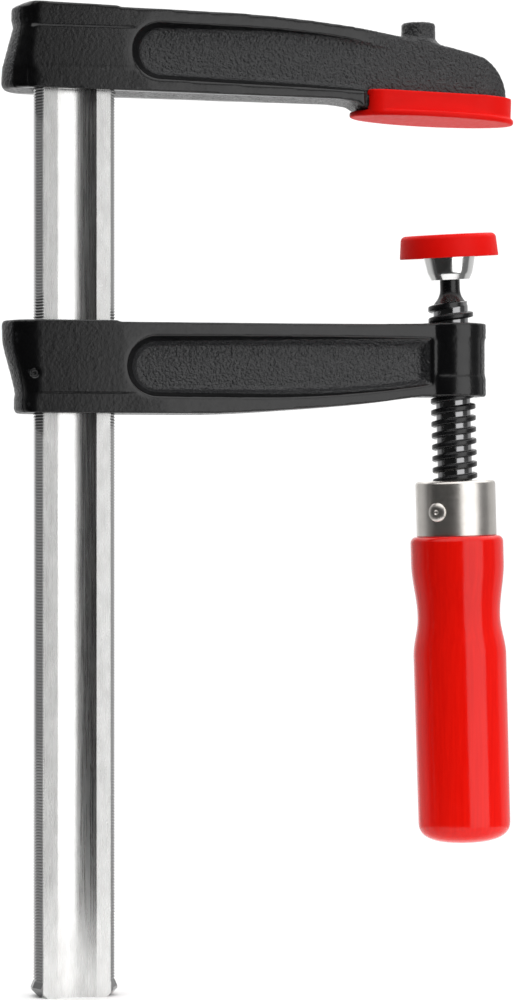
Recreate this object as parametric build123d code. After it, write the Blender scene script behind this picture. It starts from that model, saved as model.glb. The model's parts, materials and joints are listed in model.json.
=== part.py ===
from build123d import *
import os
from math import cos, pi, radians, tan

# F clamp: a serrated steel rail, a cast arm fixed at its top end, and a cast arm that slides on
# the rail and carries a threaded spindle with a swivelling pressure plate and a turned handle.
#
# Frame, in millimetres: the origin is the point on the fixed jaw's clamping face where the
# spindle's axis meets it. +Z is up along the rail, +X points from the rail to the spindle, and
# the clamp's middle plane is Y = 0. Each arm is drawn as (u, height), with u measured from the
# rail's centre line; the fixed arm's heights count from the jaw face and the sliding arm's from
# a level just above its underside. The spindle's group is drawn about the centre of the ball on its tip.

# ---- driving dimensions ----
THROAT = 98.3                     # rail's front edge to the spindle's axis, at the fixed jaw
PRESS_GAP = 0.05                  # gap left between pieces that are pressed together
SMALL_EDGE = 0.4                  # small chamfers on turned pieces

RAIL_WIDTH = 23.1
RAIL_THICKNESS = 11.2
RAIL_TOP = 30.4
RAIL_BOTTOM = -251.6
RAIL_EDGE_FLAT = 3.2              # flat left on each narrow edge between its two chamfers
RAIL_CHAMFER = 1.85               # width of those chamfers, seen on the wide face
RAIL_GROOVE_WIDTH = 11.2
RAIL_GROOVE_DEPTH = 1.35
TOOTH_PITCH = 0.84
TOOTH_DEPTH = 0.32
TEETH_TOP = 8.0                   # the serration ends inside the fixed arm's head
TEETH_BOTTOM = -247.2
STOP_FLARE = 0.7                  # how far the upset end stands out on each narrow edge
RAIL_END_CHAMFER = 2.0

HEAD_HALF = 10.0                  # half thickness of both castings around the rail
HEAD_REAR_U = -11.5               # the castings are rounded in plan behind this line
TAPER_START_U = 13.0              # both arms get thinner from here to their tips
HEAD_STEP_U = 11.2                # the heads' tops end in a small step down to the arms
HEAD_STEP_LENGTH = 0.5
BAND_DEPTH = 0.35                 # depth of the faint steps on the heads' side faces
RECESS_MOUTH = 10.05              # the recesses' cutting tools start here, just outside the castings

WEB_HALF = 5.5                    # half thickness of the fixed arm's web and tip
LOWER_RIM_HALF = 8.0              # half thickness of its lower rim at the jaw
RIM_SPLIT = 17.0                  # height that parts its lower rim from its upper one
RIM_END_U = 83.9                  # the lower rim ends here, at the cap
UPPER_RIM_HALF = 7.4              # half thickness of the upper rim where it starts to sink
RIM_SINK_U = 80.0                 # the upper rim sinks into the tip between these lines
RIM_FADE_U = 93.0
ANVIL_U = 101.6                   # small round boss on top of the fixed arm's tip
ANVIL_RADIUS = 5.0
ANVIL_TOP = 28.8
ANVIL_ROOT = 15.0                 # height inside the tip where it starts
ANVIL_FLARE = 1.8                 # how much wider its foot is
TIP_ROUND_U = 118.0               # the tip is rounded in plan beyond this line
TIP_NOSE_U = 128.1

JAW_TILT = 1.75                   # the fixed jaw's face dips towards the tip
FOOT_HALF = 8.0                   # half width of the cast foot inside the plastic cap
FOOT_BACK = -27.3                 # ends of the foot, along the jaw face
FOOT_NOSE = 17.85
FOOT_SIDES = (-23.3, 6.9)         # stretch where the foot's sides are straight
FOOT_LOW = 1.9                    # heights of the foot above the clamping face
FOOT_HIGH = 5.9
CAP_WALL = 1.6
CAP_BACK = -25.2
CAP_SIDE_START = -20.5            # the cap's walls are rounded in plan behind this line
CAP_TOP = 7.6
CAP_FLANGE_RADII = (24.5, 13.5)
CAP_FLANGE_CENTRE = -4.25
CAP_FLANGE_THICKNESS = 1.7
CAP_EDGE = 0.6

SLIDE_LEVEL = -85.3               # the sliding arm's heights count from here
SLIDE_UNDERSIDE = -0.4
SLIDE_TOP = 26.0
SLIDE_WEB_HALF = 4.0
SLIDE_TIP_HALF = 7.2              # half thickness of the sliding arm's rims at the boss
SLOT_TILT = 0.9                   # the slot leans on the rail, because the arm hangs from it
SLOT_END_GAP = 0.34               # between the rail's narrow edge and the slot's end
SLOT_SIDE_GAP = 0.2               # between the rail's wide face and the slot's side
BOSS_U = 111.85
BOSS_RADIUS = 9.9
BOSS_WAIST = 9.55                 # radius between the boss's two end rings
BOSS_LEVELS = (5.1, 10.8, 22.1, 26.5)
PIN_RADIUS = 1.0
PIN_BORE = 0.5
PIN_SLIT = 0.3
PIN_HEIGHT = 10.8                 # above the sliding arm's level
PIN_GAP = 0.12                    # between the pin and the tips of the rail's teeth
PIN_CLEARANCE = 0.05
PIN_RECESS = 0.7                  # each end of the pin lies this far inside the casting

SPINDLE_TILT = -1.6               # about +Y: the spindle's top leans towards the rail
THREAD_MAJOR = 6.55               # radii
THREAD_CORE = 5.05
THREAD_PITCH = 3.36
THREAD_CREST = 1.45               # axial width of the crest
THREAD_ROOT = 2.4                 # axial width at the core
THREAD_SINK = 0.4                 # how far the thread's section is sunk into the core
THREAD_CLEARANCE = 0.16           # between the spindle's thread and the arm's
THREAD_CREST_POINT = (167.7, -40.9)   # direction and height of one point of the crest
THREAD_START = -68.0              # ends of the cut thread, from the ball's centre
THREAD_END = -13.9
BORE_LEVELS = (-43.0, -14.0)      # stretch of thread that the sliding arm's bore is cut with
BALL_HEIGHT = -40.4               # height of the ball's centre at rest
BALL_RADIUS = 4.2
BALL_CLEARANCE = 0.1
NECK_RADIUS = 2.9
NECK_END = -10.0
RING_WIRE = 0.55                  # radius of the retaining ring's wire
RING_RADIUS = 3.62
RING_HEIGHT = -3.24
RING_GAP_ANGLE = 25.0             # the ring is split by this much

PLATE_TILT = -2.0                 # rest tilt of the pressure plate against the spindle, about +Y
PLATE_LEAN = 3.0                  # and about +X, towards the clamp's near side
CUP_RADIUS = 7.5
CUP_BOTTOM = -5.5
CUP_BOTTOM_RADIUS = 5.65
CUP_BELLY = (6.45, -3.8)          # lower end of the cup's bulged side, above its chamfer
CUP_SIDE_TOP = 1.0                # the side is straight above this height
CUP_SHOULDER = 1.0                # underside of the pad, just below the cup's disc
CUP_MOUTH_RADIUS = 3.62
CUP_LIP = 1.1
CUP_RING_SPACE = 4.66             # radius of the groove that the retaining ring lies in
CUP_RING_TOP = -1.0
DISC_RADIUS = 12.4
DISC_LEVELS = (2.0, 3.4)          # underside and top of the disc's rim
HUB_RADIUS = 6.6                  # raised middle of the disc
HUB_TOP = 5.1
PAD_RADII = (14.4, 13.95)         # at the pad's lower rim and at its face
PAD_TOP = 7.7
PAD_EDGE = 1.5
PAD_LIP_RADIUS = 11.8             # the pad's lip grips the disc from below
PAD_LIP_EDGE = 0.3

FERRULE_TOP = -64.3
FERRULE_HEIGHT = 16.1
FERRULE_RADIUS = 11.7
FERRULE_WALL = 1.1
HANDLE_LENGTH = 89.6              # below the ferrule
GRIP_RADIUS = 13.6
WAIST_RADIUS = 12.1
SHOULDER_RADIUS = 11.95
GRIP_END_RADIUS = 13.45
TANG_LENGTH = 58.0                # how far the spindle reaches below the ferrule's top
TANG_CHAMFER = 1.0
RIVET_RADIUS = 2.0
RIVET_HEAD_RADIUS = 2.75
RIVET_HEAD_HEIGHT = 0.8
RIVET_DIMPLE = 0.7                # radius of the dimple in each head
RIVET_DIMPLE_DEPTH = 0.35
RIVET_SHOULDER = 0.15             # height of each head's edge above the ferrule
RIVET_SEAT = 0.4                  # how far each head reaches down beside the ferrule's curve
RIVET_DROP = 9.0                  # below the ferrule's top
RIVET_DIRECTION = -133.3          # direction of the rivet's upset head, about the spindle

FAR = 300.0                       # reaches past everything, for cutting tools
RAIL_X = -(THROAT + RAIL_WIDTH / 2)
PIN_U = -(RAIL_WIDTH / 2 + PIN_GAP + PIN_RADIUS)
BALL_X = BALL_HEIGHT * tan(radians(SPINDLE_TILT))
FERRULE_BOTTOM = FERRULE_TOP - FERRULE_HEIGHT
AT_RAIL = Location((RAIL_X, 0, 0))
AT_SLIDE = Location((RAIL_X, 0, SLIDE_LEVEL))
AT_JAW = Location((0, 0, 0), (0, JAW_TILT, 0))
AT_SPINDLE = Location((BALL_X, 0, BALL_HEIGHT), (0, SPINDLE_TILT, 0))
AT_PLATE = Location((BALL_X, 0, BALL_HEIGHT), (PLATE_LEAN, SPINDLE_TILT + PLATE_TILT, 0))


# ---- helpers ----
def outline(plane, *curves):
    """A face in the given plane, bounded by curves."""
    return plane * make_face(list(curves))


def turned(*curves):
    """A body of revolution about Z from a half section given as (radius, height)."""
    return revolve(outline(Plane.XZ, *curves), Axis.Z)


def cylinder(radius, low, high):
    return Pos(0, 0, low) * Cylinder(radius, high - low, align=(Align.CENTER, Align.CENTER, Align.MIN))


def both_sides(tool):
    """The tool together with its mirror image across the clamp's middle plane."""
    return tool + mirror(tool, Plane.XZ)


# ---- rail ----
def rail_corners(height, half_width, side=RAIL_THICKNESS / 2):
    """The eight corners of the rail's section at one height, in order round it."""
    flat = RAIL_EDGE_FLAT / 2
    land = half_width - RAIL_CHAMFER
    front = [(land, -side), (half_width, -flat), (half_width, flat), (land, side)]
    return [Vector(x, y, height) for x, y in front + [(-x, -y) for x, y in front]]


def rail_prism(low, high, end_gap, side_gap):
    """The rail's plain section grown by the two gaps, between two heights."""
    corners = rail_corners(low, RAIL_WIDTH / 2 + end_gap, RAIL_THICKNESS / 2 + side_gap)
    return extrude(Face(Wire.make_polygon(corners)), high - low, dir=(0, 0, 1))


def rail_levels():
    """Heights and half widths of the rail's section, from the upset end up to the top."""
    half = RAIL_WIDTH / 2
    levels = [
        (RAIL_BOTTOM, half + STOP_FLARE - RAIL_END_CHAMFER),
        (RAIL_BOTTOM + RAIL_END_CHAMFER, half + STOP_FLARE),
        (TEETH_BOTTOM - 2 * TOOTH_PITCH, half + STOP_FLARE),
        (TEETH_BOTTOM, half),
    ]
    for tooth in range(int((TEETH_TOP - TEETH_BOTTOM) / TOOTH_PITCH)):
        foot = TEETH_BOTTOM + tooth * TOOTH_PITCH
        levels.append((foot + TOOTH_PITCH / 2, half - TOOTH_DEPTH))
        levels.append((foot + TOOTH_PITCH, half))
    levels.append((RAIL_TOP, half))
    return levels


def rail():
    """The rail: its teeth run round both narrow edges and their chamfers."""
    rings = [rail_corners(height, half_width) for height, half_width in rail_levels()]
    faces = [Face(Wire.make_polygon(rings[0])), Face(Wire.make_polygon(rings[-1]))]
    for low, high in zip(rings, rings[1:]):
        for corner in (0, 1, 2, 4, 5, 6):
            quad = [low[corner], low[corner + 1], high[corner + 1], high[corner]]
            faces.append(Face(Wire.make_polygon(quad)))
    for near, far in ((3, 4), (7, 0)):
        wide_face = [ring[near] for ring in rings] + [ring[far] for ring in reversed(rings)]
        faces.append(Face(Wire.make_polygon(wide_face)))
    half_chord = RAIL_GROOVE_WIDTH / 2
    groove_radius = (half_chord ** 2 + RAIL_GROOVE_DEPTH ** 2) / (2 * RAIL_GROOVE_DEPTH)
    groove_y = RAIL_THICKNESS / 2 - RAIL_GROOVE_DEPTH + groove_radius
    groove = Pos(0, groove_y, 0) * cylinder(groove_radius, RAIL_BOTTOM - 1, RAIL_TOP + 1)
    return AT_RAIL * (Solid(Shell(faces)) - groove - mirror(groove, Plane.XZ))


# ---- castings ----
def rounded_rear(stations):
    """The back of a casting: half ellipses stacked at (height, rearmost u)."""
    wires = []
    for height, rear in stations:
        centre = (HEAD_REAR_U, 0)
        arc = EllipticalCenterArc(centre, HEAD_REAR_U - rear, HEAD_HALF, 90, arc_size=180)
        chord = Line(arc @ 1, arc @ 0)
        wires.append(Pos(0, 0, height) * Wire([arc.edge(), chord.edge()]))
    return Solid.make_loft(wires, ruled=True)


def thinning(start, end, low, high):
    """A tool that planes both sides of an arm down, from (u, half) at start to that at end."""
    far_u = FAR / 2
    clear = 2 * HEAD_HALF
    side = Polyline(start, end, (far_u, end[1]), (far_u, clear), (start[0], clear), close=True)
    return both_sides(Pos(0, 0, low) * extrude(outline(Plane.XY, side), high - low, dir=(0, 0, 1)))


def recess_outline(depth, left, centre, radius, bottom_bend, bottom_end, top_bend, top_end):
    """One closed wire of a recess, at the given distance from the middle plane.

    Its left end is a half circle whose leftmost point is (left, centre). Its lower and its upper
    edge each run straight to a bend and on in an arc to an end, and the two ends are joined.
    """
    low, high = (left + radius, centre - radius), (left + radius, centre + radius)
    edges = [
        ThreePointArc(low, (left, centre), high),
        Line(high, top_bend),
        TangentArc(top_bend, top_end, tangent=Vector(*top_bend) - Vector(*high)),
        Line(top_end, bottom_end),
        TangentArc(bottom_bend, bottom_end, tangent=Vector(*bottom_bend) - Vector(*low)),
        Line(low, bottom_bend),
    ]
    return Plane.XZ.offset(depth) * Wire([edge.edge() for edge in edges])


def recess(floor, rim):
    """A tool that cuts a recess with sloping walls into both sides of an arm."""
    return both_sides(Solid.make_loft([recess_outline(*floor), recess_outline(*rim)], ruled=True))


def side_band(u_range, heights):
    """A tool that lowers a band of both side faces of a head by the depth of its faint step."""
    length, height = u_range[1] - u_range[0], heights[1] - heights[0]
    corner = Pos(u_range[0], HEAD_HALF - BAND_DEPTH, heights[0])
    return both_sides(corner * Box(length, HEAD_HALF, height, align=Align.MIN))


def tip_plan(half_tip, half_arm, nose_gap=0):
    """The fixed arm in plan: a band of one half width that ends in half an ellipse of another."""
    band = Pos(TIP_ROUND_U - FAR / 2, 0) * Rectangle(FAR, 2 * half_arm)
    return band + Pos(TIP_ROUND_U, 0) * Ellipse(TIP_NOSE_U - TIP_ROUND_U + nose_gap, half_tip)


def fixed_arm():
    """The upper casting: head, I-shaped arm, tip with its anvil, and the foot of the jaw."""
    edge = [
        Polyline((HEAD_REAR_U, 30.6), (HEAD_STEP_U, 29.95),
                 (HEAD_STEP_U + HEAD_STEP_LENGTH, 29.55), (43.7, 29.05)),
        ThreePointArc((43.7, 29.05), (69.1, 27.5), (94.5, 24.35)),
        Line((94.5, 24.35), (106.0, 22.3)),
        ThreePointArc((106.0, 22.3), (113.5, 20.7), (120.0, 18.85)),
        ThreePointArc((120.0, 18.85), (124.8, 14.9), (TIP_NOSE_U, 8.0)),
        Polyline((TIP_NOSE_U, 8.0), (127.4, 2.4), (83.5, 3.2), (81.4, 4.5), (76.0, 5.2), (HEAD_REAR_U, 6.15)),
        Line((HEAD_REAR_U, 6.15), (HEAD_REAR_U, 30.6)),
    ]
    arm = extrude(outline(Plane.XZ, *edge), HEAD_HALF, both=True)
    arm -= thinning((TAPER_START_U, HEAD_HALF), (RIM_END_U, LOWER_RIM_HALF), 0, RIM_SPLIT)
    arm -= thinning((TAPER_START_U, HEAD_HALF), (RIM_SINK_U, UPPER_RIM_HALF), RIM_SPLIT, FAR)
    arm -= thinning((RIM_SINK_U, UPPER_RIM_HALF), (RIM_FADE_U, WEB_HALF), RIM_SPLIT, FAR)
    arm -= thinning((RIM_END_U, WEB_HALF), (RIM_END_U + 1, WEB_HALF), 0, RIM_SPLIT)
    arm -= recess(
        (WEB_HALF, 18.45, 17.4, 6.15, (60.0, 10.1), (96.0, 7.9), (50.0, 23.7), (96.0, 19.4)),
        (RECESS_MOUTH, 14.9, 17.5, 8.4, (60.0, 7.4), (96.0, 5.3), (50.0, 25.8), (96.0, 21.4)),
    )
    arm &= extrude(tip_plan(WEB_HALF, 2 * HEAD_HALF), FAR, both=True)
    rear = rounded_rear([
        (6.15, -19.95), (7.6, -20.95), (12.4, -20.65), (24.4, -17.4),
        (26.1, -17.95), (29.4, -17.95), (30.6, -15.2),
    ])
    head = arm + rear - side_band((-25.0, 22.0), (11.7, 23.6))
    foot = ANVIL_RADIUS + ANVIL_FLARE
    anvil = turned(
        Polyline((0, ANVIL_ROOT), (foot, ANVIL_ROOT), (foot, 22.5)),
        ThreePointArc((foot, 22.5), (ANVIL_RADIUS + 0.5, 23.3), (ANVIL_RADIUS, 24.9)),
        Polyline((ANVIL_RADIUS, 24.9), (ANVIL_RADIUS, ANVIL_TOP - SMALL_EDGE),
                 (ANVIL_RADIUS - SMALL_EDGE, ANVIL_TOP), (0, ANVIL_TOP), (0, ANVIL_ROOT)),
    )
    anvil = Pos(ANVIL_U, 0, 0) * anvil & Box(FAR, 2 * WEB_HALF, FAR)
    socket = rail_prism(0, FAR, PRESS_GAP, PRESS_GAP)
    jaw_foot = extrude(Pos(0, 0, FOOT_LOW) * foot_plan(0), FOOT_HIGH - FOOT_LOW, dir=(0, 0, 1))
    return AT_RAIL * (head + anvil - socket) + AT_JAW * jaw_foot


def foot_plan(grow):
    """The foot of the fixed jaw, seen along its clamping direction and grown all round."""
    start, end = FOOT_SIDES
    half = FOOT_HALF + grow
    return outline(
        Plane.XY,
        Line((start, half), (end, half)),
        EllipticalCenterArc((end, 0), FOOT_NOSE - end + grow, half, -90, arc_size=180),
        Line((end, -half), (start, -half)),
        ThreePointArc((start, -half), (FOOT_BACK - grow, 0), (start, half)),
    )


def fixed_jaw_cap():
    """The plastic cap that is clipped over the fixed jaw's foot, open towards the rail."""
    end = FOOT_SIDES[1]
    half = FOOT_HALF + CAP_WALL
    throat = WEB_HALF + PRESS_GAP
    back_corner = (CAP_SIDE_START, throat)
    corner_radii = (CAP_SIDE_START - CAP_BACK, half - throat)
    half_wall = outline(
        Plane.XY,
        EllipticalCenterArc(back_corner, *corner_radii, 90, arc_size=90),
        Line((CAP_SIDE_START, half), (end, half)),
        EllipticalCenterArc((end, 0), FOOT_NOSE - end + CAP_WALL, half, 0, arc_size=90),
        Polyline((FOOT_NOSE + CAP_WALL, 0), (CAP_BACK, 0), (CAP_BACK, throat)),
    )
    wall_low = CAP_FLANGE_THICKNESS / 2
    wall = extrude(Pos(0, 0, wall_low) * half_wall, CAP_TOP - wall_low, dir=(0, 0, 1))
    flange = extrude(Pos(CAP_FLANGE_CENTRE, 0) * Ellipse(*CAP_FLANGE_RADII), CAP_FLANGE_THICKNESS)
    flange = fillet(flange.edges(), CAP_EDGE)
    foot_top = FOOT_HIGH + PRESS_GAP
    foot_space = extrude(Pos(0, 0, FOOT_LOW) * foot_plan(PRESS_GAP), foot_top - FOOT_LOW, dir=(0, 0, 1))
    tip = Pos(RAIL_X, 0, FOOT_HIGH) * tip_plan(throat, throat, SMALL_EDGE)
    tip_space = extrude(tip, CAP_TOP, dir=(0, 0, 1))
    return AT_JAW * (both_sides(wall) + flange - foot_space - tip_space)


def thread(low, high, clearance):
    """A right-handed thread on its core between two heights; every such thread is in phase."""
    core, major = THREAD_CORE + clearance, THREAD_MAJOR + clearance
    crest = THREAD_CREST / 2 + clearance
    root_radius = core - THREAD_SINK
    flank_slope = (THREAD_ROOT - THREAD_CREST) / 2 / (THREAD_MAJOR - THREAD_CORE)
    root = crest + (major - root_radius) * flank_slope
    section = Polyline((root_radius, -root), (major, -crest), (major, crest), (root_radius, root), close=True)
    tooth = outline(Plane.XZ, section)
    turns = sweep(tooth, Helix(THREAD_PITCH, high - low, core), is_frenet=True)
    crest_direction, crest_height = THREAD_CREST_POINT
    phase = crest_direction - 360 * (crest_height - low) / THREAD_PITCH
    turns = Pos(0, 0, low) * Rot(0, 0, phase) * turns
    return cylinder(core, low - THREAD_PITCH, high + THREAD_PITCH) + turns


def sliding_arm():
    """The lower casting: head with the rail's slot, I-shaped arm, and the threaded boss."""
    edge = [
        Line((HEAD_REAR_U, SLIDE_UNDERSIDE), (33.0, SLIDE_UNDERSIDE)),
        Spline((33.0, SLIDE_UNDERSIDE), (48.6, 0.05), (62.0, 0.95), (75.6, 2.0), (88.0, 3.25), (101.0, 5.0),
               tangents=[(1, 0), (1, 0.12)]),
        Polyline((101.0, 5.0), (BOSS_U, BOSS_LEVELS[0]), (BOSS_U, BOSS_LEVELS[-1] - 0.1), (90.0, 25.95),
                 (60.0, 25.75), (HEAD_STEP_U + HEAD_STEP_LENGTH, 25.6), (HEAD_STEP_U, SLIDE_TOP),
                 (HEAD_REAR_U, SLIDE_TOP), (HEAD_REAR_U, SLIDE_UNDERSIDE)),
    ]
    arm = extrude(outline(Plane.XZ, *edge), HEAD_HALF, both=True)
    arm -= thinning((TAPER_START_U, HEAD_HALF), (BOSS_U, SLIDE_TIP_HALF), -FAR, FAR)
    arm -= recess(
        (SLIDE_WEB_HALF, 17.2, 12.9, 6.15, (52.0, 6.9), (101.1, 10.2), (60.0, 19.4), (101.1, 19.2)),
        (RECESS_MOUTH, 13.7, 13.1, 8.85, (52.0, 3.6), (106.5, 6.9), (60.0, 22.9), (106.5, 24.4)),
    )
    rear = rounded_rear([
        (SLIDE_UNDERSIDE, -16.4), (0.6, -17.2), (3.6, -17.2), (5.1, -16.9), (6.3, -17.1), (10.2, -18.0),
        (14.8, -19.3), (18.0, -20.2), (20.5, -20.65), (25.0, -20.75), (SLIDE_TOP, -20.35),
    ])
    foot, waist_low, waist_high, top = BOSS_LEVELS
    boss = cylinder(BOSS_RADIUS, foot, waist_low) + cylinder(BOSS_WAIST, waist_low, waist_high)
    boss += cylinder(BOSS_RADIUS, waist_high, top)
    head = arm + rear + Pos(BOSS_U, 0, 0) * boss - side_band((-25.0, 25.5), (-5.0, 5.5))
    head -= Pos(PIN_U, 0, PIN_HEIGHT) * Rot(90, 0, 0) * Cylinder(PIN_RADIUS + PIN_CLEARANCE, FAR)
    slot = rail_prism(-SLIDE_TOP, SLIDE_TOP, SLOT_END_GAP, SLOT_SIDE_GAP)
    slot = Pos(0, 0, SLIDE_TOP / 2) * Rot(0, SLOT_TILT, 0) * slot
    bore = thread(*BORE_LEVELS, THREAD_CLEARANCE)
    return AT_SLIDE * (head - slot) - AT_SPINDLE * bore


def grip_pin():
    """A slotted spring pin across the sliding arm's head, behind the rail's rear teeth."""
    length = 2 * (HEAD_HALF - PIN_RECESS)
    tube = Cylinder(PIN_RADIUS, length) - Cylinder(PIN_BORE, length)
    tube -= Pos(-PIN_RADIUS, 0, 0) * Box(2 * PIN_RADIUS, PIN_SLIT, length)
    return AT_SLIDE * Pos(PIN_U, 0, PIN_HEIGHT) * Rot(90, 0, 0) * tube


# ---- spindle and handle ----
def along_rivet(shape):
    """Turns a shape drawn about Z onto the rivet's cross axis."""
    return Pos(0, 0, FERRULE_TOP - RIVET_DROP) * Rot(0, 0, RIVET_DIRECTION) * Rot(0, 90, 0) * shape


def rivet_hole():
    """A tool for the cross hole that the rivet goes through."""
    return along_rivet(Cylinder(RIVET_RADIUS + PRESS_GAP, FAR))


def spindle():
    """One turned bar: ball, neck, thread and the plain tang inside the handle."""
    neck_root = -(BALL_RADIUS ** 2 - NECK_RADIUS ** 2) ** 0.5
    tang_end = FERRULE_TOP - TANG_LENGTH
    core = turned(
        ThreePointArc((0, BALL_RADIUS), (BALL_RADIUS, 0), (NECK_RADIUS, neck_root)),
        Line((NECK_RADIUS, neck_root), (NECK_RADIUS, NECK_END)),
        ThreePointArc((NECK_RADIUS, NECK_END), (3.7, -12.6), (THREAD_CORE, THREAD_END)),
        Polyline((THREAD_CORE, THREAD_END), (THREAD_CORE, tang_end + TANG_CHAMFER),
                 (THREAD_CORE - TANG_CHAMFER, tang_end), (0, tang_end), (0, BALL_RADIUS)),
    )
    outside = THREAD_MAJOR + 1
    flare_end = THREAD_END - (outside - THREAD_CORE) / 2
    envelope = turned(
        Polyline((0, FERRULE_TOP), (outside, FERRULE_TOP), (outside, flare_end),
                 (THREAD_CORE, THREAD_END), (0, THREAD_END), close=True),
    )
    return AT_SPINDLE * (core + (thread(THREAD_START, THREAD_END, 0) & envelope) - rivet_hole())


def retaining_ring():
    """A split wire ring in the cup, under the ball."""
    wire = Plane.XZ * Pos(RING_RADIUS, RING_HEIGHT) * Circle(RING_WIRE)
    return AT_SPINDLE * revolve(wire, Axis.Z, revolution_arc=360 - RING_GAP_ANGLE)


def pressure_plate():
    """The steel cup that swivels on the ball, with the disc that carries the plastic pad."""
    seat = BALL_RADIUS + BALL_CLEARANCE
    side = seat * cos(pi / 4)
    lip_top = CUP_BOTTOM + CUP_LIP
    disc_low, disc_high = DISC_LEVELS
    return AT_PLATE * turned(
        Polyline((CUP_MOUTH_RADIUS, CUP_BOTTOM), (CUP_BOTTOM_RADIUS, CUP_BOTTOM), CUP_BELLY),
        ThreePointArc(CUP_BELLY, (7.2, -1.4), (CUP_RADIUS, CUP_SIDE_TOP)),
        Polyline((CUP_RADIUS, CUP_SIDE_TOP), (CUP_RADIUS, disc_low), (DISC_RADIUS, disc_low),
                 (DISC_RADIUS, disc_high), (HUB_RADIUS, disc_high), (HUB_RADIUS, HUB_TOP),
                 (0, HUB_TOP), (0, seat)),
        ThreePointArc((0, seat), (side, side), (seat, 0)),
        Polyline((seat, 0), (seat, CUP_RING_TOP), (CUP_RING_SPACE, CUP_RING_TOP), (CUP_RING_SPACE, lip_top),
                 (CUP_MOUTH_RADIUS, lip_top), (CUP_MOUTH_RADIUS, CUP_BOTTOM)),
    )


def pressure_plate_cap():
    """The plastic pad that snaps over the disc of the pressure plate."""
    rim, face = PAD_RADII
    disc, hub = DISC_RADIUS + PRESS_GAP, HUB_RADIUS + PRESS_GAP
    hub_top, disc_high, disc_low = HUB_TOP + PRESS_GAP, DISC_LEVELS[1] + PRESS_GAP, DISC_LEVELS[0] - PRESS_GAP
    edge_side = PAD_EDGE * (1 - cos(pi / 4))
    return AT_PLATE * turned(
        Polyline((0, PAD_TOP), (0, hub_top), (hub, hub_top), (hub, disc_high), (disc, disc_high),
                 (disc, disc_low), (PAD_LIP_RADIUS, disc_low), (PAD_LIP_RADIUS, CUP_SHOULDER),
                 (rim - PAD_LIP_EDGE, CUP_SHOULDER), (rim, CUP_SHOULDER + PAD_LIP_EDGE),
                 (face, PAD_TOP - PAD_EDGE)),
        ThreePointArc((face, PAD_TOP - PAD_EDGE), (face - edge_side, PAD_TOP - edge_side),
                      (face - PAD_EDGE, PAD_TOP)),
        Line((face - PAD_EDGE, PAD_TOP), (0, PAD_TOP)),
    )


def ferrule():
    """The steel cup pressed over the handle's tenon."""
    bore = THREAD_CORE + PRESS_GAP
    inner = FERRULE_RADIUS - FERRULE_WALL
    corner = FERRULE_WALL * (1 - cos(pi / 4))
    cup = turned(
        Line((bore, FERRULE_TOP), (inner, FERRULE_TOP)),
        ThreePointArc((inner, FERRULE_TOP), (FERRULE_RADIUS - corner, FERRULE_TOP - corner),
                      (FERRULE_RADIUS, FERRULE_TOP - FERRULE_WALL)),
        Polyline((FERRULE_RADIUS, FERRULE_TOP - FERRULE_WALL), (FERRULE_RADIUS, FERRULE_BOTTOM),
                 (inner, FERRULE_BOTTOM), (inner, FERRULE_TOP - FERRULE_WALL),
                 (bore, FERRULE_TOP - FERRULE_WALL), (bore, FERRULE_TOP)),
    )
    return AT_SPINDLE * (cup - rivet_hole())


def handle():
    """The turned wooden handle: tenon, shoulder, waist and long grip, bored for the tang."""
    bore = THREAD_CORE + PRESS_GAP
    tenon = FERRULE_RADIUS - FERRULE_WALL - PRESS_GAP
    tenon_top = FERRULE_TOP - FERRULE_WALL - PRESS_GAP
    top = FERRULE_BOTTOM - PRESS_GAP
    bottom = FERRULE_BOTTOM - HANDLE_LENGTH
    bore_end = FERRULE_TOP - TANG_LENGTH - PRESS_GAP
    wood = turned(
        Polyline((bore, tenon_top), (tenon, tenon_top), (tenon, top), (SHOULDER_RADIUS, top)),
        ThreePointArc((SHOULDER_RADIUS, top), (GRIP_RADIUS - 0.45, top - 0.8), (GRIP_RADIUS, top - 2.2)),
        Line((GRIP_RADIUS, top - 2.2), (GRIP_RADIUS, top - 7.5)),
        Spline((GRIP_RADIUS, top - 7.5), (WAIST_RADIUS, top - 23.5), (GRIP_RADIUS, top - 35.0),
               tangents=[(0, -1), (0, -1)]),
        Line((GRIP_RADIUS, top - 35.0), (GRIP_END_RADIUS, bottom + 6.6)),
        Spline((GRIP_END_RADIUS, bottom + 6.6), (11.5, bottom + 2.0), (6.0, bottom + 0.25), (0, bottom),
               tangents=[(0, -1), (-1, 0)]),
        Polyline((0, bottom), (0, bore_end), (bore, bore_end), (bore, tenon_top)),
    )
    return AT_SPINDLE * (wood - rivet_hole())


def handle_rivet():
    """The rivet through ferrule, handle and tang, upset into a dimpled head at each end."""
    seat = FERRULE_RADIUS - RIVET_SEAT
    shoulder = FERRULE_RADIUS + RIVET_SHOULDER
    crown = FERRULE_RADIUS + RIVET_HEAD_HEIGHT
    dimple = crown - RIVET_DIMPLE_DEPTH
    head = turned(
        Polyline((0, seat), (RIVET_HEAD_RADIUS, seat), (RIVET_HEAD_RADIUS, shoulder)),
        ThreePointArc((RIVET_HEAD_RADIUS, shoulder), (1.9, crown - 0.2), (RIVET_DIMPLE, crown)),
        Polyline((RIVET_DIMPLE, crown), (RIVET_DIMPLE / 2, dimple), (0, dimple), (0, seat)),
    )
    around = cylinder(FERRULE_RADIUS, FERRULE_BOTTOM, FERRULE_TOP)
    shank = along_rivet(Cylinder(RIVET_RADIUS, 2 * shoulder))
    return AT_SPINDLE * (along_rivet(head + Rot(180, 0, 0) * head) - around + shank)


NODES = {
    "rail": rail,
    "fixed_arm": fixed_arm,
    "fixed_jaw_cap": fixed_jaw_cap,
    "sliding_arm": sliding_arm,
    "grip_pin": grip_pin,
    "spindle": spindle,
    "retaining_ring": retaining_ring,
    "pressure_plate": pressure_plate,
    "pressure_plate_cap": pressure_plate_cap,
    "ferrule": ferrule,
    "handle": handle,
    "handle_rivet": handle_rivet,
}

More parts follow.
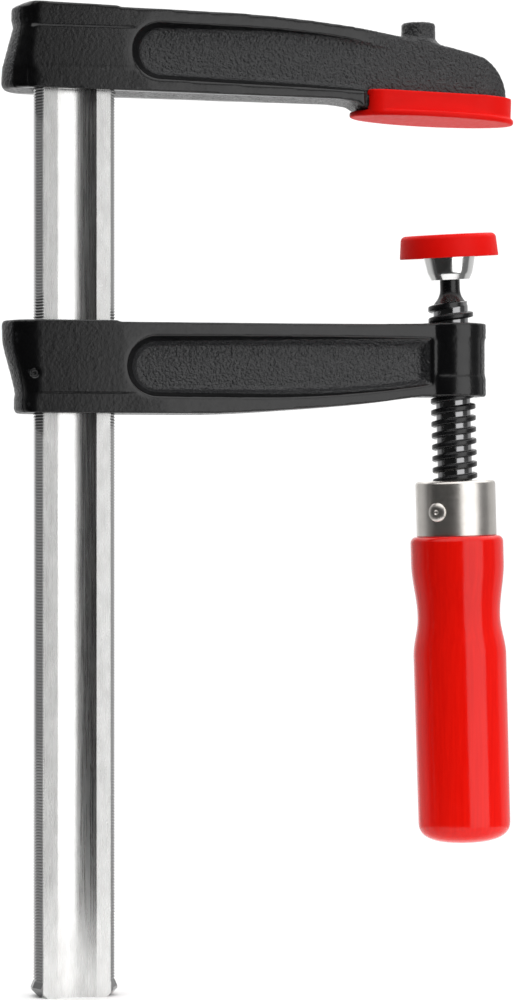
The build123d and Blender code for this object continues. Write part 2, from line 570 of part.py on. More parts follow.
os.makedirs("parts", exist_ok=True)
for name, build in NODES.items():
    export_step(build(), f"parts/{name}.step")
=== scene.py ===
import json
from math import cos, pi, radians, sin

import bpy
import numpy as np
from mathutils import Matrix, Vector, noise


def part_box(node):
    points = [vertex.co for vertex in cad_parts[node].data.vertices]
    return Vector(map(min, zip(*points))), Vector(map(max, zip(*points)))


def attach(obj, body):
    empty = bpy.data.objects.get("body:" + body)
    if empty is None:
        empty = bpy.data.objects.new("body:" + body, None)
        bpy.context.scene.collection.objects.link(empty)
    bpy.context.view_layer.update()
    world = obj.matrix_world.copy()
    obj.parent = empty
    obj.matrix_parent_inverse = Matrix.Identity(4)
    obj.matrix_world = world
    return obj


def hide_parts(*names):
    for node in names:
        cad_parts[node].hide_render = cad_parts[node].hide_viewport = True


# F clamp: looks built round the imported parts. Metres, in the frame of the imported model. Turned
# pieces are drawn as (radius, height) in millimetres about the centre of the ball on the
# spindle's tip, and the two castings and the jaw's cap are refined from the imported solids.

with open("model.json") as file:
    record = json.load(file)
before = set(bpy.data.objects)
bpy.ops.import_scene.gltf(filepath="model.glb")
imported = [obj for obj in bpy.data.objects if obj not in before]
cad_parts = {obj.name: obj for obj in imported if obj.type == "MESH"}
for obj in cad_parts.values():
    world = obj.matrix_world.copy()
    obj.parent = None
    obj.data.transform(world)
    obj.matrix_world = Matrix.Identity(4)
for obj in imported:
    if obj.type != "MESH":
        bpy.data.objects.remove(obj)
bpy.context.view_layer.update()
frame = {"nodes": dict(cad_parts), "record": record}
record = frame["record"]
joints = {joint["name"]: joint for joint in record["behaviour"]["joints"]}
mounts = {mount["name"]: mount for mount in record["mounts"]}

MM = 0.001
UP = Vector((0, 0, 1))
BALL = Vector(joints["spindle_turn"]["pos_m"])
TO_SPINDLE = Matrix.Translation(BALL) @ UP.rotation_difference(
    Vector(joints["spindle_turn"]["axis"])).to_matrix().to_4x4()
TO_PLATE = Matrix.Translation(BALL) @ UP.rotation_difference(
    Vector(mounts["pressure_face"]["axis"])).to_matrix().to_4x4()

# ---- sizes, in millimetres ----
TURNED_SEGMENTS = 128
CAST_VOXEL = 0.43
CAST_SMOOTHING = 9                # passes that round the castings' edges
CAP_VOXEL = 0.26
CAP_SMOOTHING = 4
PEEL_SIZE = 0.62                  # width of the bumps of the castings' orange-peel surface
PEEL_DEPTH = 0.12
PEEL_OFF_RECESS = 0.15            # share of the peel's depth on the heads and rims
BUMP_SIZE = 0.8                   # width of the bumps that the castings' material adds
BUMP_DEPTH = 0.6
BUMP_OFF_RECESS = 0.05            # share of the bumps' height on the heads and rims
# the castings' painted recess light fades out between the same distances
RECESS_THICKNESS = (5.9, 6.9)     # the peel fades between these distances from the middle plane
FIXED_BAND = (11.1, 24.2)         # heights of the band along the sides of the fixed arm's head
SLIDE_BAND = (-80.4, -50.0)       # of the sliding arm's, which runs to the head's top
BAND_HEIGHTS = (0.24, 0.06)       # how far each band is raised, and what is beside it sunk
BAND_EDGE = 1.2                   # width of the slope at a band's upper and lower edge
BAND_FADE = 9.0                   # length past the rail in which the bands fade out
HEAD_SIDE = (9.2, 9.5)            # the heads' side faces begin this far from the middle plane
RAIL_SIDE = (9.6, 9.9)            # the rail's teeth begin this far from its centre line
SLOT_EASE = 0.16                  # the sliding arm's slot is opened by this much on every side
SLOT_REACH = (0.2, 0.45)          # its walls are no further than this from the rail's ends and sides
BORE_KEPT = 7.2                   # the threaded bore stays unsmoothed within this radius

BALL_RADIUS = 4.2
NECK_RADIUS = 2.9
SPINDLE_END = -122.3
THREAD_MAJOR = 6.55
THREAD_CORE = 5.05
THREAD_PITCH = 3.36
THREAD_LOW = -68.0
RIDGE_HIGH = -12.5                # the thread's ridge ends here, in the neck's flare
THREAD_CREST_AT = (167.7, -40.9)  # direction in degrees and height of one point of the crest
RUNOUT_TURNS = 0.3                # the thread rises out of the core over this much of a turn
RUNOUT_WIDTH = 0.55               # share of the ridge's width at its end
RIDGE_STEPS = 72                  # in a turn

FERRULE_TOP = -64.3
FERRULE_BOTTOM = -80.4
FERRULE_RADIUS = 11.7
HANDLE_BOTTOM = -170.0
GRIP_RADIUS = 13.6
WAIST_RADIUS = 12.1
GRIP_END_RADIUS = 13.45
GRIP_END_LENGTH = 6.6
GRIP_END_SQUARENESS = 2.85        # 2 makes the end half an ellipse, and more makes it squarer
WAIST_LEVELS = (7.5, 23.5, 35.0)  # where the waist starts, is narrowest and ends, below the handle's shoulder
WAIST_STEPS = 32
DISC_RADIUS = 12.4
RIVET_HEIGHT = -73.3
RIVET_DIRECTION = -133.3

# ---- camera and light, in metres and degrees ----
CAMERA_TARGET = Vector((-0.0587, -0.0112, -0.1103))
CAMERA_DISTANCE = 0.956
CAMERA_AZIMUTH = 12.3             # it stands this many degrees to the left of the clamp's front
CAMERA_LENS = 120.6
SOFTBOX_ENDS = (Vector((0.0, -0.6, 0)), Vector((0.46, -0.386, 0)))
SOFTBOX_HEIGHTS = (-0.42, 0.2)
SOFTBOX_RADIANCE = 1.75
FLOOR_RADIUS = 0.2
SKY_BRIGHTNESS = 1.7              # of the studio's ceiling
WALL_BRIGHTNESS = 1.1             # of the brightest wall
CEILING_RISE = (0.4, 0.65)        # the walls turn into the ceiling between these sines of the elevation
# the walls by azimuth in degrees, 0 straight in front and positive towards the spindle
WALL_LEVELS = ((-180, 1.0), (-166, 1.0), (-158, 0.55), (-122, 0.52), (-100, 0.03), (-3, 0.02), (6, 0.06),
               (50, 0.15), (88, 0.15), (94, 0.55), (150, 0.7), (160, 1.0), (180, 1.0))


# ---- meshes ----
def new_piece(name, points, faces):
    mesh = bpy.data.meshes.new(name)
    mesh.from_pydata([tuple(point) for point in points], [], faces)
    mesh.validate()
    mesh.update()
    piece = bpy.data.objects.new(name, mesh)
    bpy.context.scene.collection.objects.link(piece)
    return piece


def shade(piece, angle=35.0):
    """Smooth shading that keeps the edges sharper than the angle."""
    mesh = piece.data
    mesh.shade_smooth()
    mesh.set_sharp_from_angle(angle=radians(angle))


def arc(centre, radii, start, end, steps=8):
    """Points on an arc of a (radius, height) outline, with its ends, from start to end degrees."""
    angles = [radians(start + (end - start) * step / steps) for step in range(steps + 1)]
    return [(centre[0] + radii[0] * cos(angle), centre[1] + radii[1] * sin(angle)) for angle in angles]


def lathe(name, outline, placement, closed=False, segments=TURNED_SEGMENTS):
    """Turns an outline of (radius, height) points about Z.

    An open outline starts and ends on the axis. A closed one makes a ring.
    """
    points, rows = [], []
    for radius, height in outline:
        if radius == 0:
            rows.append([len(points)] * segments)
            points.append((0, 0, height))
            continue
        rows.append(list(range(len(points), len(points) + segments)))
        for step in range(segments):
            angle = 2 * pi * step / segments
            points.append((radius * cos(angle), radius * sin(angle), height))
    faces = []
    pairs = list(zip(rows, rows[1:])) + ([(rows[-1], rows[0])] if closed else [])
    for low, high in pairs:
        for step in range(segments):
            after = (step + 1) % segments
            loop = [low[step], low[after], high[after], high[step]]
            face = list(dict.fromkeys(loop))
            if len(face) > 2:
                faces.append(face)
    placed = [placement @ (Vector(point) * MM) for point in points]
    piece = new_piece(name, placed, faces)
    face_outwards(piece)
    shade(piece)
    return piece


def face_outwards(piece):
    """Turns every face of closed shells outwards."""
    bpy.context.view_layer.objects.active = piece
    bpy.ops.object.select_all(action="DESELECT")
    piece.select_set(True)
    bpy.ops.object.mode_set(mode="EDIT")
    bpy.ops.mesh.select_all(action="SELECT")
    bpy.ops.mesh.normals_make_consistent(inside=False)
    bpy.ops.object.mode_set(mode="OBJECT")


def helix_ridge(name):
    """The spindle's thread: one closed ridge with rounded crest edges, sunk into the core."""
    upper = [(THREAD_MAJOR, 0.48), (6.45, 0.66), (6.2, 0.76), (THREAD_CORE, 1.05), (THREAD_CORE - 0.9, 1.2)]
    section = [(radius, -offset) for radius, offset in reversed(upper)] + upper
    turns = (RIDGE_HIGH - THREAD_LOW) / THREAD_PITCH
    steps = round(turns * RIDGE_STEPS)
    sunk = THREAD_CORE - 0.1
    crest_direction, crest_height = THREAD_CREST_AT
    points, faces = [], []
    for step in range(steps + 1):
        middle = THREAD_LOW + (RIDGE_HIGH - THREAD_LOW) * step / steps
        angle = radians(crest_direction + 360 * (middle - crest_height) / THREAD_PITCH)
        risen = min(1.0, turns * (1 - step / steps) / RUNOUT_TURNS)
        risen = risen * risen * (3 - 2 * risen)
        for radius, offset in section:
            radius = min(radius, sunk + (THREAD_MAJOR - sunk) * risen)
            height = middle + offset * (RUNOUT_WIDTH + (1 - RUNOUT_WIDTH) * risen)
            points.append((radius * cos(angle), radius * sin(angle), height))
    count = len(section)
    for step in range(steps):
        for side in range(count):
            after = (side + 1) % count
            first, second = step * count, (step + 1) * count
            faces.append([first + side, first + after, second + after, second + side])
    faces.append(list(range(count)))
    faces.append(list(range(steps * count, (steps + 1) * count))[::-1])
    ridge = new_piece(name, [TO_SPINDLE @ (Vector(point) * MM) for point in points], faces)
    face_outwards(ridge)
    shade(ridge, 40)
    return ridge


def join(first, *others):
    """Makes one piece of several."""
    bpy.ops.object.select_all(action="DESELECT")
    for piece in (first, *others):
        piece.select_set(True)
    bpy.context.view_layer.objects.active = first
    bpy.ops.object.join()
    return first


def apply_modifiers(piece):
    evaluated = piece.evaluated_get(bpy.context.evaluated_depsgraph_get())
    mesh = bpy.data.meshes.new_from_object(evaluated)
    piece.modifiers.clear()
    piece.data = mesh


def refined(node, name, voxel, passes, kept=None):
    """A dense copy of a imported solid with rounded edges. kept(points) gives where it stays as it is."""
    piece = bpy.data.objects.new(name, frame["nodes"][node].data.copy())
    bpy.context.scene.collection.objects.link(piece)
    remesh = piece.modifiers.new("remesh", "REMESH")
    remesh.mode = "VOXEL"
    remesh.voxel_size = voxel * MM
    apply_modifiers(piece)
    points = read_points(piece)
    group = piece.vertex_groups.new(name="smoothed")
    free = np.ones(len(points)) if kept is None else 1 - kept(points)
    for index, weight in enumerate(free):
        if weight > 0:
            group.add([index], weight, "REPLACE")
    smooth = piece.modifiers.new("smooth", "SMOOTH")
    smooth.factor = 0.5
    smooth.iterations = passes
    smooth.vertex_group = group.name
    apply_modifiers(piece)
    piece.vertex_groups.clear()
    piece.data.shade_smooth()
    return piece


def read_points(piece):
    points = np.zeros(len(piece.data.vertices) * 3)
    piece.data.vertices.foreach_get("co", points)
    return points.reshape(-1, 3)


def spindle_distance(points):
    """Each point's distance from the spindle's axis."""
    axis = np.array(joints["spindle_turn"]["axis"])
    offsets = points - np.array(BALL)
    along = offsets @ axis
    return np.linalg.norm(offsets - along[:, None] * axis, axis=1)


def step_between(values, low, high):
    """0 at low and below, 1 at high and above, and smooth between."""
    share = np.clip((values - low) / (high - low), 0, 1)
    return share * share * (3 - 2 * share)


def orange_peel(piece, strength):
    """Sinks a cast surface into shallow dimples. strength(points) gives how deep, from 0 to 1."""
    points = read_points(piece)
    normals = np.zeros(len(points) * 3)
    piece.data.vertices.foreach_get("normal", normals)
    depth = strength(points) * PEEL_DEPTH * MM
    scale = 1 / (PEEL_SIZE * MM)
    peel = np.array([noise.noise(Vector(point) * scale) for point in points])
    points += normals.reshape(-1, 3) * ((peel - 0.5) * depth)[:, None]
    piece.data.vertices.foreach_set("co", points.ravel())
    piece.data.update()


# ---- materials ----
class Finish:
    """A procedural material, with short calls for the nodes that its patterns are made of."""

    def __init__(self, name, color, roughness, **sockets):
        self.material = bpy.data.materials.new(name)
        self.material.use_nodes = True
        self.tree = self.material.node_tree
        self.shader = self.tree.nodes["Principled BSDF"]
        self.set("Base Color", (*color, 1))
        self.set("Roughness", roughness)
        for socket, value in sockets.items():
            self.set(socket.replace("_", " "), value)
        self.place = self.tree.nodes.new("ShaderNodeTexCoord").outputs["Object"]

    def set(self, socket, value):
        if isinstance(value, bpy.types.NodeSocket):
            self.tree.links.new(value, self.shader.inputs[socket])
        else:
            self.shader.inputs[socket].default_value = value

    def node(self, kind, inputs, **settings):
        made = self.tree.nodes.new(kind)
        for setting, value in settings.items():
            setattr(made, setting, value)
        for socket, value in inputs.items():
            if isinstance(value, bpy.types.NodeSocket):
                self.tree.links.new(value, made.inputs[socket])
            else:
                made.inputs[socket].default_value = value
        return made

    def noise(self, size, detail=3.0, stretch=(1, 1, 1)):
        """Noise whose bumps are about size millimetres wide, times stretch along X, Y and Z."""
        scale = tuple(1 / (size * MM * along) for along in stretch)
        placed = self.node("ShaderNodeMapping", {"Vector": self.place, "Scale": scale})
        made = self.node("ShaderNodeTexNoise", {
            "Vector": placed.outputs["Vector"], "Scale": 1.0, "Detail": detail})
        return made.outputs["Fac"]

    def span(self, value, low, high, to_low, to_high):
        """Maps a value from one range to another, and holds it at the ends."""
        made = self.node("ShaderNodeMapRange", {
            "Value": value, "From Min": low, "From Max": high, "To Min": to_low, "To Max": to_high})
        return made.outputs["Result"]

    def mix(self, share, first, second):
        made = self.node("ShaderNodeMix", {}, data_type="RGBA")
        for socket, value in ((made.inputs[0], share), (made.inputs[6], first), (made.inputs[7], second)):
            if isinstance(value, bpy.types.NodeSocket):
                self.tree.links.new(value, socket)
            else:
                socket.default_value = (*value, 1)
        return made.outputs[2]

    def math(self, operation, first, second, third=0.0):
        made = self.node("ShaderNodeMath", {0: first, 1: second, 2: third}, operation=operation)
        return made.outputs["Value"]

    def side_distance(self):
        """The distance from the clamp's middle plane, in millimetres."""
        apart = self.node("ShaderNodeSeparateXYZ", {"Vector": self.place})
        return self.math("MULTIPLY", self.math("ABSOLUTE", apart.outputs["Y"], 0.0), 1 / MM)

    def spindle_distance(self):
        """The distance from the spindle's axis at rest, in millimetres."""
        arm = self.node("ShaderNodeVectorMath", {0: self.place, 1: BALL}, operation="SUBTRACT")
        axis = joints["spindle_turn"]["axis"]
        across = self.node("ShaderNodeVectorMath", {
            0: arm.outputs["Vector"], 1: axis}, operation="CROSS_PRODUCT")
        reach = self.node("ShaderNodeVectorMath", {0: across.outputs["Vector"]}, operation="LENGTH")
        return self.math("MULTIPLY", reach.outputs["Value"], 1 / MM)

    def front_distance(self, box):
        """The distance from the middle of a box, seen from the front, in millimetres."""
        apart = self.node("ShaderNodeSeparateXYZ", {"Vector": self.place})
        centred = self.math("SUBTRACT", apart.outputs["X"], (box[0].x + box[1].x) / 2)
        return self.math("MULTIPLY", self.math("ABSOLUTE", centred, 0.0), 1 / MM)

    def edges(self, low, high):
        """0 on flat and hollow places, 1 on convex edges."""
        geometry = self.node("ShaderNodeNewGeometry", {})
        return self.span(geometry.outputs["Pointiness"], low, high, 0, 1)

    def bump(self, height, depth, strength=1.0):
        """Raises the surface by up to depth millimetres."""
        made = self.node("ShaderNodeBump", {
            "Height": height, "Distance": depth * MM, "Strength": strength})
        self.set("Normal", made.outputs["Normal"])


def black_casting():
    finish = Finish("black_casting", (0.003, 0.003, 0.0035), 0.3)
    blotches = finish.noise(9.0)
    worn = finish.edges(0.52, 0.6)
    coat_and_painted_recess_light = finish.mix(finish.span(blotches, 0.35, 0.7, 0, 1), (0.002, 0.002, 0.0023), (0.004, 0.004, 0.0045))
    smooth = finish.span(finish.side_distance(), *RECESS_THICKNESS, 0, 1)
    # painted light: the recesses get a far lighter base colour than the heads and rims, standing in for the
    # softbox light that their rough peel catches
    coat_and_painted_recess_light = finish.mix(smooth, (0.028, 0.0284, 0.03), coat_and_painted_recess_light)
    finish.set("Base Color", finish.mix(finish.math("MULTIPLY", worn, 0.4), coat_and_painted_recess_light, (0.03, 0.031, 0.033)))
    patchy = finish.span(finish.noise(2.2), 0.3, 0.7, -0.04, 0.04)
    finish.set("Roughness", finish.math("ADD", patchy, finish.span(smooth, 0, 1, 0.3, 0.23)))
    depth = finish.span(smooth, 0, 1, 1, BUMP_OFF_RECESS)
    peel = finish.math("MULTIPLY", finish.noise(BUMP_SIZE, 2.0), depth)
    finish.bump(peel, BUMP_DEPTH)
    return finish.material


def red_plastic():
    finish = Finish("red_plastic", (0.86, 0.004, 0.0015), 0.5, Specular_IOR_Level=0.13)
    tone = finish.span(finish.noise(14.0), 0.3, 0.7, 0, 1)
    finish.set("Base Color", finish.mix(tone, (0.84, 0.0035, 0.001), (0.9, 0.005, 0.002)))
    finish.set("Roughness", finish.span(finish.noise(1.6), 0.3, 0.7, 0.44, 0.56))
    finish.bump(finish.noise(0.5, 2.0), 0.006, 0.5)
    return finish.material


def red_wood():
    finish = Finish("red_wood", (0.74, 0.002, 0.0015), 0.13, Specular_IOR_Level=0.3)
    grain = finish.noise(0.9, 4.0, (1, 1, 22))
    tone = finish.mix(finish.span(grain, 0.35, 0.7, 0, 1), (0.76, 0.005, 0.002), (0.83, 0.0075, 0.003))
    finish.set("Base Color", tone)
    finish.set("Roughness", finish.span(finish.noise(6.0), 0.3, 0.7, 0.1, 0.17))
    finish.bump(grain, 0.004, 0.25)
    return finish.material


def drawn_steel():
    finish = Finish("rail_steel", (0.76, 0.76, 0.75), 0.3, Metallic=1.0)
    streaks = finish.noise(0.35, 4.0, (1, 1, 60))
    spangle = finish.noise(2.6, 3.0, (1, 1, 2.5))
    tone = finish.mix(finish.span(spangle, 0.3, 0.7, 0, 1), (0.70, 0.70, 0.69), (0.82, 0.82, 0.81))
    # painted shade: the teeth get a dark grey base colour, standing in for the shade that falls in their
    # valleys
    teeth_with_painted_shade = finish.span(finish.front_distance(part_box("rail")), *RAIL_SIDE, 0, 1)
    finish.set("Base Color", finish.mix(teeth_with_painted_shade, tone, (0.2, 0.2, 0.2)))
    streaked = finish.span(streaks, 0.3, 0.7, 0.22, 0.34)
    finish.set("Roughness", finish.math("MULTIPLY_ADD", teeth_with_painted_shade, -0.08, streaked))
    finish.bump(finish.math("ADD", streaks, spangle), 0.004, 0.4)
    return finish.material


def zinc_plate():
    finish = Finish("zinc_plate", (0.82, 0.82, 0.81), 0.16, Metallic=1.0)
    turned = finish.noise(0.3, 3.0, (6, 6, 1))
    finish.set("Roughness", finish.span(finish.noise(3.0), 0.3, 0.7, 0.11, 0.2))
    finish.bump(turned, 0.0015, 0.3)
    return finish.material


def ferrule_steel():
    finish = Finish("ferrule_steel", (0.66, 0.64, 0.60), 0.24, Metallic=1.0)
    turned = finish.noise(0.35, 2.0, (14, 14, 1))
    tone = finish.mix(finish.span(finish.noise(5.0), 0.3, 0.7, 0, 1), (0.66, 0.63, 0.59), (0.75, 0.72, 0.68))
    finish.set("Base Color", tone)
    finish.set("Roughness", finish.span(turned, 0.3, 0.7, 0.28, 0.35))
    finish.bump(turned, 0.0015, 0.3)
    return finish.material


def black_oxide():
    finish = Finish("spindle_black", (0.003, 0.003, 0.0035), 0.18)
    distance = finish.spindle_distance()
    ridge, neck = finish.span(distance, 5.2, 5.6, 0, 1), finish.span(distance, 4.8, 5.0, 1, 0)
    crest = finish.math("MAXIMUM", ridge, neck)
    worn = finish.math("MULTIPLY", finish.edges(0.53, 0.62), finish.span(finish.noise(1.5), 0.4, 0.6, 0.2, 1))
    coated = finish.mix(worn, (0.003, 0.003, 0.0035), (0.03, 0.03, 0.033))
    finish.set("Base Color", finish.mix(crest, (0.27, 0.27, 0.275), coated))
    finish.set("Metallic", finish.span(crest, 0, 1, 1, 0))
    patchy = finish.span(finish.noise(1.0), 0.3, 0.7, 0.1, 0.2)
    finish.set("Roughness", finish.math("MULTIPLY_ADD", crest, 0.12, patchy))
    finish.bump(finish.noise(0.5, 2.0, (4, 4, 1)), 0.003, 0.3)
    return finish.material


def pin_steel():
    finish = Finish("pin_steel", (0.012, 0.012, 0.013), 0.4)
    finish.set("Roughness", finish.span(finish.noise(0.6), 0.3, 0.7, 0.32, 0.5))
    finish.bump(finish.noise(0.3), 0.006, 0.5)
    return finish.material


def spring_wire():
    finish = Finish("spring_wire", (0.45, 0.45, 0.45), 0.3, Metallic=1.0)
    finish.set("Roughness", finish.span(finish.noise(0.5), 0.3, 0.7, 0.22, 0.4))
    finish.bump(finish.noise(0.25), 0.004, 0.5)
    return finish.material


def give(piece, material):
    piece.data.materials.clear()
    piece.data.materials.append(material)


# ---- pieces ----
def recessed(points):
    """1 in the castings' recesses and on their thin tips, and little on their heads and rims."""
    thickness = np.abs(points[:, 1]) / MM
    return 1 - (1 - PEEL_OFF_RECESS) * step_between(thickness, *RECESS_THICKNESS)


def raise_band(arm, low, high, height):
    """Raises a band along both sides of a head, between two heights, and sinks what is beside it."""
    points = read_points(arm)
    heights = points[:, 2] / MM
    band = step_between(heights, low, low + BAND_EDGE) - step_between(heights, high - BAND_EDGE, high)
    side = step_between(np.abs(points[:, 1]) / MM, *HEAD_SIDE)
    head_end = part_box("rail")[1].x
    side *= 1 - step_between(points[:, 0], head_end, head_end + BAND_FADE * MM)
    points[:, 1] += np.sign(points[:, 1]) * side * (2 * band - 1) * height * MM
    arm.data.vertices.foreach_set("co", points.ravel())
    arm.data.update()


def fixed_arm():
    """The upper casting, with a slightly raised band along the sides of its head."""
    arm = refined("fixed_arm", "fixed_arm_casting", CAST_VOXEL, CAST_SMOOTHING)
    raise_band(arm, *FIXED_BAND, BAND_HEIGHTS[0])
    orange_peel(arm, recessed)
    return arm


def slot_walls(points):
    """1 on the walls of the sliding arm's slot for the rail, and 0 elsewhere."""
    low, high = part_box("rail")
    past_ends, past_sides = SLOT_REACH
    across = np.abs(points[:, 0] - (low.x + high.x) / 2) < (high.x - low.x) / 2 + past_ends * MM
    return (across & (np.abs(points[:, 1]) < high.y + past_sides * MM)).astype(float)


def sliding_arm():
    """The lower casting, with its thread kept sharp, its slot eased a little and a band on its head."""
    def kept(points):
        distance = spindle_distance(points) / MM
        return np.maximum(1 - step_between(distance, BORE_KEPT, BORE_KEPT + 1), slot_walls(points))

    arm = refined("sliding_arm", "sliding_arm_casting", CAST_VOXEL, CAST_SMOOTHING, kept)
    points = read_points(arm)
    walls = slot_walls(points) * SLOT_EASE * MM
    low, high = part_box("rail")
    points[:, 0] += walls * np.clip((points[:, 0] - (low.x + high.x) / 2) / (high.x - low.x) * 2, -1, 1)
    points[:, 1] += walls * np.clip(points[:, 1] / high.y, -1, 1)
    arm.data.vertices.foreach_set("co", points.ravel())
    raise_band(arm, *SLIDE_BAND, BAND_HEIGHTS[1])
    orange_peel(arm, lambda points: recessed(points) * (1 - kept(points)))
    return arm


def spindle():
    """Ball, neck, core and thread of the spindle."""
    neck_root = -(BALL_RADIUS ** 2 - NECK_RADIUS ** 2) ** 0.5
    outline = arc((0, 0), (BALL_RADIUS, BALL_RADIUS), 90, -46.3, 20)
    outline[0] = (0, BALL_RADIUS)
    outline += [(NECK_RADIUS, neck_root - 0.1), (NECK_RADIUS, -8.2)]
    outline += [(2.95, -8.9), (3.1, -9.7), (3.4, -10.5), (3.85, -11.3)]
    outline += [(4.4, -12.0), (4.8, -12.6), (5.0, -13.1), (THREAD_CORE, -13.6)]
    outline += [(THREAD_CORE, SPINDLE_END + 1), (THREAD_CORE - 1, SPINDLE_END), (0, SPINDLE_END)]
    return join(lathe("spindle_screw", outline, TO_SPINDLE), helix_ridge("spindle_thread"))


def pressure_plate():
    """The cup that swivels on the ball, with its disc: one closed skin, from the hollow outwards."""
    outline = [(0, 4.3)] + arc((0, 0), (4.3, 4.3), 78, 0, 10)
    outline += [(4.3, -1.0), (4.66, -1.0), (4.66, -4.4), (3.62, -4.4), (3.62, -5.35), (3.77, -5.5)]
    outline += [(5.5, -5.5), (5.7, -5.42), (6.4, -3.95), (6.55, -3.65), (6.72, -2.9), (6.92, -2.0)]
    outline += [(7.1, -1.1), (7.28, -0.2), (7.42, 0.5), (7.5, 1.0), (7.5, 2.0)]
    outline += [(DISC_RADIUS, 2.0), (DISC_RADIUS, 3.4), (6.6, 3.4), (6.6, 5.1), (0, 5.1)]
    return lathe("pressure_plate_cup", outline, TO_PLATE)


def pressure_cap():
    """The plastic pad over the disc, with rounded edges and side."""
    disc = DISC_RADIUS + 0.05
    outline = [(0, 5.15), (6.65, 5.15), (6.65, 3.45), (disc, 3.45), (disc, 1.95), (11.8, 1.95)]
    outline += [(11.8, 1.2), (12.0, 1.0)] + arc((14.1, 1.3), (0.3, 0.3), -90, 0, 4)
    outline += arc((12.45, 6.2), (1.5, 1.5), 0, 90, 10) + [(0, 7.7)]
    return lathe("pressure_plate_pad", outline, TO_PLATE)


def ferrule():
    """The steel cup over the handle's top."""
    inner = FERRULE_RADIUS - 1.1
    outline = [(5.1, FERRULE_TOP - 1.1), (5.1, FERRULE_TOP - 0.25), (5.35, FERRULE_TOP)]
    outline += arc((inner, FERRULE_TOP - 1.1), (1.1, 1.1), 90, 0, 8)
    outline += arc((FERRULE_RADIUS - 0.2, FERRULE_BOTTOM + 0.2), (0.2, 0.2), 0, -90, 3)
    outline += [(inner, FERRULE_BOTTOM), (inner, FERRULE_TOP - 1.1)]
    return lathe("ferrule_cup", outline, TO_SPINDLE, closed=True)


def handle():
    """The turned handle: tenon, shoulder, waist, grip and a soft end."""
    top = FERRULE_BOTTOM - 0.05
    outline = [(0, FERRULE_TOP - 1.2), (10.55, FERRULE_TOP - 1.2), (10.55, top), (11.95, top)]
    outline += arc((11.95, top - 1.9), (GRIP_RADIUS - 11.95, 1.9), 85, 0, 8)
    start, narrowest, end = WAIST_LEVELS
    outline.append((GRIP_RADIUS, top - start))
    for step in range(1, WAIST_STEPS + 1):
        drop = start + (end - start) * step / WAIST_STEPS
        if drop < narrowest:
            narrow = 0.5 - 0.5 * cos(pi * (drop - start) / (narrowest - start))
        else:
            narrow = 0.5 + 0.5 * cos(pi * (drop - narrowest) / (end - narrowest))
        outline.append((GRIP_RADIUS - (GRIP_RADIUS - WAIST_RADIUS) * narrow, top - drop))
    rounding = 2 / GRIP_END_SQUARENESS
    for step in range(24):
        angle = pi / 2 * step / 24
        rise = GRIP_END_LENGTH * (1 - sin(angle) ** rounding)
        outline.append((GRIP_END_RADIUS * cos(angle) ** rounding, HANDLE_BOTTOM + rise))
    outline.append((0, HANDLE_BOTTOM))
    return lathe("handle_grip", outline, TO_SPINDLE)


def rivet():
    """The rivet's two dimpled heads and its shank."""
    across = TO_SPINDLE @ Matrix.Translation((0, 0, RIVET_HEIGHT * MM))
    across = across @ Matrix.Rotation(radians(RIVET_DIRECTION), 4, "Z") @ Matrix.Rotation(pi / 2, 4, "Y")
    crown = FERRULE_RADIUS + 0.8
    side = [(0, crown - 0.35), (0.35, crown - 0.32), (0.6, crown - 0.12), (0.8, crown - 0.02),
            (1.1, crown - 0.02), (1.6, crown - 0.1), (2.1, crown - 0.25), (2.5, crown - 0.45),
            (2.72, crown - 0.65), (2.75, crown - 0.8),
            (2.75, FERRULE_RADIUS - 0.4), (2.0, FERRULE_RADIUS - 0.4)]
    outline = side + [(radius, -height) for radius, height in reversed(side)]
    return lathe("handle_rivet_heads", outline, across, segments=64)


def build_pieces():
    """Every piece: what makes it, its body, the node it stands for, its slot and its finish."""
    casting, plastic, wood = black_casting(), red_plastic(), red_wood()
    nickel = ferrule_steel()
    made = (
        (fixed_arm(), "frame", "fixed_arm", "black_casting", casting),
        (refined("fixed_jaw_cap", "fixed_jaw_cover", CAP_VOXEL, CAP_SMOOTHING), "frame", "fixed_jaw_cap",
         "red_plastic", plastic),
        (sliding_arm(), "sliding_arm", "sliding_arm", "black_casting", casting),
        (spindle(), "spindle", "spindle", "spindle_black", black_oxide()),
        (pressure_plate(), "pressure_foot", "pressure_plate", "zinc_plate", zinc_plate()),
        (pressure_cap(), "pressure_foot", "pressure_plate_cap", "red_plastic", plastic),
        (ferrule(), "spindle", "ferrule", "ferrule_steel", nickel),
        (handle(), "spindle", "handle", "red_wood", wood),
        (rivet(), "spindle", "handle_rivet", "ferrule_steel", nickel),
    )
    for piece, body, node, slot, material in made:
        give(piece, material)
        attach(piece, body)
        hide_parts(node)
    carried_over = (("rail", drawn_steel()), ("grip_pin", pin_steel()), ("retaining_ring", spring_wire()))
    for node, material in carried_over:
        give(frame["nodes"][node], material)


# ---- stage ----
def floor():
    """A pale round floor that the rail's lower end stands on."""
    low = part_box("rail")[0].z
    ground = lathe("floor", [(0, 0), (FLOOR_RADIUS / MM, 0)], Matrix.Translation((0, 0, low)), segments=64)
    finish = Finish("floor_white", (0.9, 0.9, 0.9), 0.9)
    finish.set("Roughness", finish.span(finish.noise(60.0), 0.3, 0.7, 0.85, 0.95))
    give(ground, finish.material)


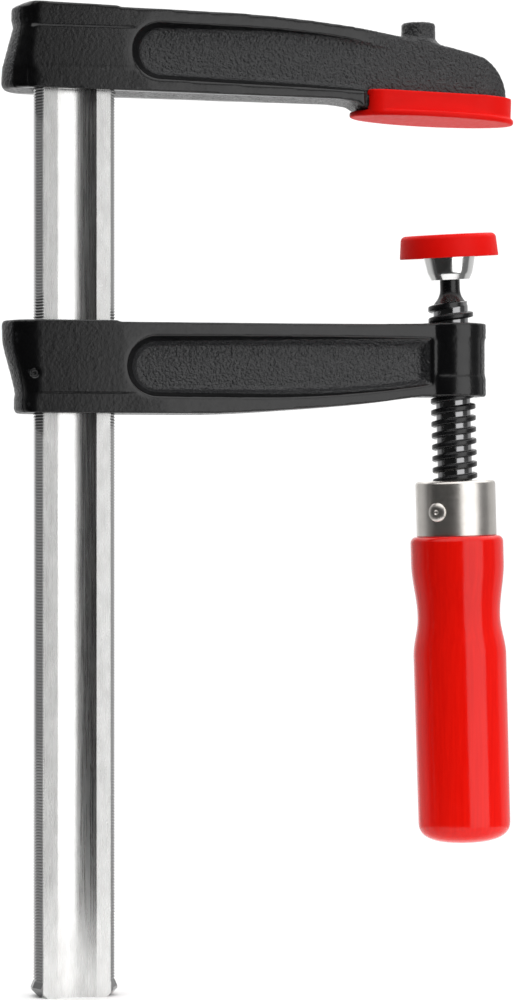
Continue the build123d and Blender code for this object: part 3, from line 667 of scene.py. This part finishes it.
def studio():
    """Pale walls round the clamp with a dark one at the front left, under a bright ceiling."""
    world = bpy.data.worlds.new("studio")
    bpy.context.scene.world = world
    world.use_nodes = True
    tree = world.node_tree
    background = tree.nodes["Background"]
    direction = tree.nodes.new("ShaderNodeTexCoord").outputs["Generated"]
    parts = tree.nodes.new("ShaderNodeSeparateXYZ")
    tree.links.new(direction, parts.inputs[0])

    def math(operation, first, second, third=0.0):
        made = tree.nodes.new("ShaderNodeMath")
        made.operation = operation
        for socket, value in zip(made.inputs, (first, second, third)):
            if isinstance(value, bpy.types.NodeSocket):
                tree.links.new(value, socket)
            else:
                socket.default_value = value
        return made.outputs["Value"]

    turn = math("ARCTAN2", parts.outputs["X"], math("MULTIPLY", parts.outputs["Y"], -1.0))
    ramp = tree.nodes.new("ShaderNodeValToRGB")
    tree.links.new(math("MULTIPLY_ADD", turn, 0.5 / pi, 0.5), ramp.inputs["Fac"])
    stops = ramp.color_ramp.elements
    while len(stops) < len(WALL_LEVELS):
        stops.new(1.0)
    for stop, (azimuth, level) in zip(stops, WALL_LEVELS):
        stop.position = azimuth / 360 + 0.5
        stop.color = (level, level, level, 1)
    ceiling = tree.nodes.new("ShaderNodeMapRange")
    ceiling.interpolation_type = "SMOOTHSTEP"
    tree.links.new(parts.outputs["Z"], ceiling.inputs["Value"])
    ceiling.inputs["From Min"].default_value, ceiling.inputs["From Max"].default_value = CEILING_RISE
    walls = math("MULTIPLY", ramp.outputs["Color"], WALL_BRIGHTNESS)
    rise = math("SUBTRACT", SKY_BRIGHTNESS, walls)
    level = math("MULTIPLY_ADD", ceiling.outputs["Result"], rise, walls)
    tree.links.new(level, background.inputs["Strength"])
    background.inputs["Color"].default_value = (1, 1, 1, 1)


def softbox():
    """The upright rectangular light at the front right."""
    start, end = SOFTBOX_ENDS
    low, high = SOFTBOX_HEIGHTS
    light = bpy.data.lights.new("softbox", "AREA")
    light.shape = "RECTANGLE"
    light.size, light.size_y = (end - start).length, high - low
    light.energy = SOFTBOX_RADIANCE * pi * light.size * light.size_y
    lamp = bpy.data.objects.new("softbox", light)
    bpy.context.scene.collection.objects.link(lamp)
    lamp.location = (start + end) / 2 + UP * (low + high) / 2
    lamp.rotation_euler = UP.cross(end - start).to_track_quat("-Z", "Y").to_euler()


def camera():
    lens = bpy.data.cameras.new("camera")
    lens.lens = CAMERA_LENS
    eye = bpy.data.objects.new("camera", lens)
    bpy.context.scene.collection.objects.link(eye)
    angle = radians(CAMERA_AZIMUTH)
    ahead = Vector((sin(angle), cos(angle), 0))
    eye.location = CAMERA_TARGET - ahead * CAMERA_DISTANCE
    eye.rotation_euler = ahead.to_track_quat("-Z", "Y").to_euler()
    bpy.context.scene.camera = eye


camera()
build_pieces()
floor()
studio()
softbox()

bpy.context.scene.view_settings.view_transform = "Standard"
